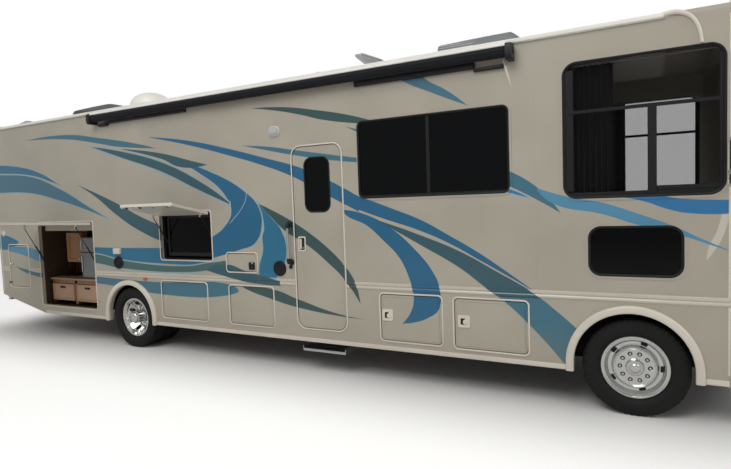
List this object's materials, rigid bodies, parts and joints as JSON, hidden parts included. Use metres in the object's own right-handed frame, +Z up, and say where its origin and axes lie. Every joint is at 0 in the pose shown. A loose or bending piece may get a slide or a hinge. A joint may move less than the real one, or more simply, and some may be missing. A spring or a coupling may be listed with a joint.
{
  "type": "motorhome",
  "caption": "Front-engined motorhome with striped sides, raised galley lid and screen cover, storage bays, slide-out room, entry step, steered front wheels and twin rear wheels.",
  "frame": {"origin": "centre of the whole object's footprint, at ground level, which lies beside the vehicle's centreline because the raised galley lid stands out to the kerb side", "axes": "+X forward along the vehicle, +Y to the street side, +Z up"},
  "size_m": [10.695, 4.0829, 3.6629],
  "materials": {
    "body_paint": "gloss",
    "black_trim": "satin",
    "dark_glass": "gloss",
    "clear_glass": "gloss",
    "tyre_rubber": "matte",
    "polished_wheel": "polished",
    "chassis_black": "satin",
    "cast_iron": "rough",
    "exhaust_steel": "dull",
    "tank_black": "satin",
    "floor_board": "satin",
    "roof_white": "satin",
    "bright_metal": "satin",
    "liner_grey": "satin",
    "cupboard_wood": "satin",
    "screen_black": "gloss",
    "lamp_lens": "clear",
    "dash_vinyl": "matte",
    "seat_leather": "satin",
    "strut_black": "satin",
    "strut_rod": "polished"
  },
  "bodies": {
    "coach": {"front_axle": "chassis_black", "rear_axle": "cast_iron", "chassis_frame": "chassis_black", "rear_bumper": "body_paint", "engine": "cast_iron", "driveline": "exhaust_steel", "fuel_tank": "tank_black", "kerb_wall": "body_paint", "kerb_skirt": "body_paint", "street_wall": "body_paint", "street_skirt": "body_paint", "galley_unit": "cupboard_wood", "screen_unit": "screen_black", "floor_boxes": "liner_grey", "floor": "floor_board", "step_well": "liner_grey", "roof": "roof_white", "roof_units": "roof_white", "awning": "black_trim", "front_cap": "body_paint", "windscreen": "clear_glass", "grille": "black_trim", "rear_cap": "body_paint", "window_glass": "dark_glass", "lamps": "lamp_lens", "body_trim": "body_paint", "mirrors": "black_trim", "ladder": "bright_metal", "dash": "dash_vinyl", "cab_seats": "seat_leather"},
    "knuckle_kerb": {"knuckle_kerb": "cast_iron"},
    "wheel_front_kerb": {"tyre_front_kerb": "tyre_rubber", "rim_front_kerb": "polished_wheel"},
    "wheels_rear_kerb": {"tyres_rear_kerb": "tyre_rubber", "rims_rear_kerb": "polished_wheel"},
    "knuckle_street": {"knuckle_street": "cast_iron"},
    "wheel_front_street": {"tyre_front_street": "tyre_rubber", "rim_front_street": "polished_wheel"},
    "wheels_rear_street": {"tyres_rear_street": "tyre_rubber", "rims_rear_street": "polished_wheel"},
    "entry_door": {"entry_door": "body_paint"},
    "bay_kerb_1": {"bay_kerb_1": "body_paint"},
    "bay_kerb_2": {"bay_kerb_2": "body_paint"},
    "bay_kerb_3": {"bay_kerb_3": "body_paint"},
    "bay_kerb_4": {"bay_kerb_4": "body_paint"},
    "bay_street_1": {"bay_street_1": "body_paint"},
    "bay_street_2": {"bay_street_2": "body_paint"},
    "bay_street_3": {"bay_street_3": "body_paint"},
    "hatch_kerb": {"hatch_kerb": "body_paint"},
    "utility_door_kerb": {"utility_door_kerb": "body_paint"},
    "galley_lid": {"galley_lid": "body_paint"},
    "galley_strut_tubes": {"galley_strut_tubes": "strut_black"},
    "galley_strut_rods": {"galley_strut_rods": "strut_rod"},
    "screen_lid": {"screen_lid": "body_paint"},
    "screen_strut_tubes": {"screen_strut_tubes": "strut_black"},
    "screen_strut_rods": {"screen_strut_rods": "strut_rod"},
    "slide_room": {"slide_room": "body_paint"},
    "step_arms": {"step_arms": "chassis_black"},
    "step_links": {"step_links": "chassis_black"},
    "step_tread": {"step_tread": "bright_metal"}
  },
  "joints": [
    {"name": "steer_kerb", "type": "hinge", "parent": "coach", "child": "knuckle_kerb", "pos_m": [4.1125, -0.4785, 0.412], "axis": [0, 0, 1], "range_deg": [-38, 38]},
    {"name": "spin_front_kerb", "type": "hinge", "parent": "knuckle_kerb", "child": "wheel_front_kerb", "pos_m": [4.1125, -0.6355, 0.412], "axis": [0, 1, 0], "continuous": true},
    {"name": "spin_rear_kerb", "type": "hinge", "parent": "coach", "child": "wheels_rear_kerb", "pos_m": [-2.0345, -0.6515, 0.412], "axis": [0, 1, 0], "continuous": true},
    {"name": "steer_street", "type": "hinge", "parent": "coach", "child": "knuckle_street", "pos_m": [4.1125, 1.4315, 0.412], "axis": [0, 0, 1], "range_deg": [-38, 38]},
    {"name": "spin_front_street", "type": "hinge", "parent": "knuckle_street", "child": "wheel_front_street", "pos_m": [4.1125, 1.5885, 0.412], "axis": [0, 1, 0], "continuous": true},
    {"name": "spin_rear_street", "type": "hinge", "parent": "coach", "child": "wheels_rear_street", "pos_m": [-2.0345, 1.6045, 0.412], "axis": [0, 1, 0], "continuous": true},
    {"name": "entry_door_hinge", "type": "hinge", "parent": "coach", "child": "entry_door", "pos_m": [1.3635, -0.799, 1.5075], "axis": [0, 0, 1], "range_deg": [0, 95]},
    {"name": "bay_kerb_1_hinge", "type": "hinge", "parent": "coach", "child": "bay_kerb_1", "pos_m": [-0.6245, -0.799, 0.7095], "axis": [0, 0, 1], "range_deg": [0, 95]},
    {"name": "bay_kerb_2_hinge", "type": "hinge", "parent": "coach", "child": "bay_kerb_2", "pos_m": [0.3995, -0.799, 0.706], "axis": [0, 0, 1], "range_deg": [0, 95]},
    {"name": "bay_kerb_3_hinge", "type": "hinge", "parent": "coach", "child": "bay_kerb_3", "pos_m": [2.4335, -0.799, 0.696], "axis": [0, 0, 1], "range_deg": [0, 95]},
    {"name": "bay_kerb_4_hinge", "type": "hinge", "parent": "coach", "child": "bay_kerb_4", "pos_m": [3.2515, -0.799, 0.69], "axis": [0, 0, 1], "range_deg": [0, 95]},
    {"name": "bay_street_1_hinge", "type": "hinge", "parent": "coach", "child": "bay_street_1", "pos_m": [-0.6245, 1.752, 0.7095], "axis": [0, 0, -1], "range_deg": [0, 95]},
    {"name": "bay_street_2_hinge", "type": "hinge", "parent": "coach", "child": "bay_street_2", "pos_m": [0.7995, 1.752, 0.706], "axis": [0, 0, -1], "range_deg": [0, 95]},
    {"name": "bay_street_3_hinge", "type": "hinge", "parent": "coach", "child": "bay_street_3", "pos_m": [3.2515, 1.752, 0.696], "axis": [0, 0, -1], "range_deg": [0, 95]},
    {"name": "hatch_kerb_hinge", "type": "hinge", "parent": "coach", "child": "hatch_kerb", "pos_m": [-0.2645, -0.799, 1.2175], "axis": [0, 0, -1], "range_deg": [0, 95]},
    {"name": "utility_door_kerb_hinge", "type": "hinge", "parent": "coach", "child": "utility_door_kerb", "pos_m": [-4.3485, -0.799, 1.0645], "axis": [0, 0, 1], "range_deg": [0, 95]},
    {"name": "galley_lid_hinge", "type": "hinge", "parent": "coach", "child": "galley_lid", "pos_m": [-3.3905, -0.799, 1.735], "axis": [1, 0, 0], "range_deg": [0, 93]},
    {"name": "galley_strut_swing", "type": "hinge", "parent": "coach", "child": "galley_strut_tubes", "pos_m": [-3.3905, -0.6735, 1], "axis": [1, 0, 0], "range_deg": [-20.2, 0]},
    {"name": "galley_strut_stroke", "type": "slide", "parent": "galley_strut_tubes", "child": "galley_strut_rods", "axis": [0, -0.4621, 0.8868], "range_m": [-0.29, 0]},
    {"name": "screen_lid_hinge", "type": "hinge", "parent": "coach", "child": "screen_lid", "pos_m": [-0.946, -0.799, 1.835], "axis": [1, 0, 0], "range_deg": [0, 102]},
    {"name": "screen_strut_swing", "type": "hinge", "parent": "coach", "child": "screen_strut_tubes", "pos_m": [-0.946, -0.6335, 1.35], "axis": [1, 0, 0], "range_deg": [-18.5, 0]},
    {"name": "screen_strut_stroke", "type": "slide", "parent": "screen_strut_tubes", "child": "screen_strut_rods", "axis": [0, -0.5551, 0.8318], "range_m": [-0.177, 0]},
    {"name": "slide_room_travel", "type": "slide", "parent": "coach", "child": "slide_room", "axis": [0, 1, 0], "range_m": [0, 0.55]},
    {"name": "step_swing", "type": "hinge", "parent": "coach", "child": "step_arms", "pos_m": [1.0575, -0.6535, 0.35], "axis": [-1, 0, 0], "range_deg": [0, 132]},
    {"name": "step_link_swing", "type": "hinge", "parent": "coach", "child": "step_links", "pos_m": [1.0575, -0.5235, 0.35], "axis": [-1, 0, 0], "range_deg": [0, 132]},
    {"name": "step_level", "type": "hinge", "parent": "step_arms", "child": "step_tread", "pos_m": [1.0575, -0.51647, 0.28899], "axis": [-1, 0, 0], "range_deg": [-132, 0]}
  ],
  "couplings": [
    {"joint": "steer_street", "follows": "steer_kerb", "ratio": 1},
    {"joint": "galley_strut_swing", "follows": "galley_lid_hinge", "ratio": -0.21601},
    {"joint": "galley_strut_stroke", "follows": "galley_lid_hinge", "m_per_rad": -0.17763},
    {"joint": "screen_strut_swing", "follows": "screen_lid_hinge", "ratio": -0.18007},
    {"joint": "screen_strut_stroke", "follows": "screen_lid_hinge", "m_per_rad": -0.098417},
    {"joint": "step_link_swing", "follows": "step_swing", "ratio": 1},
    {"joint": "step_level", "follows": "step_swing", "ratio": -1}
  ]
}
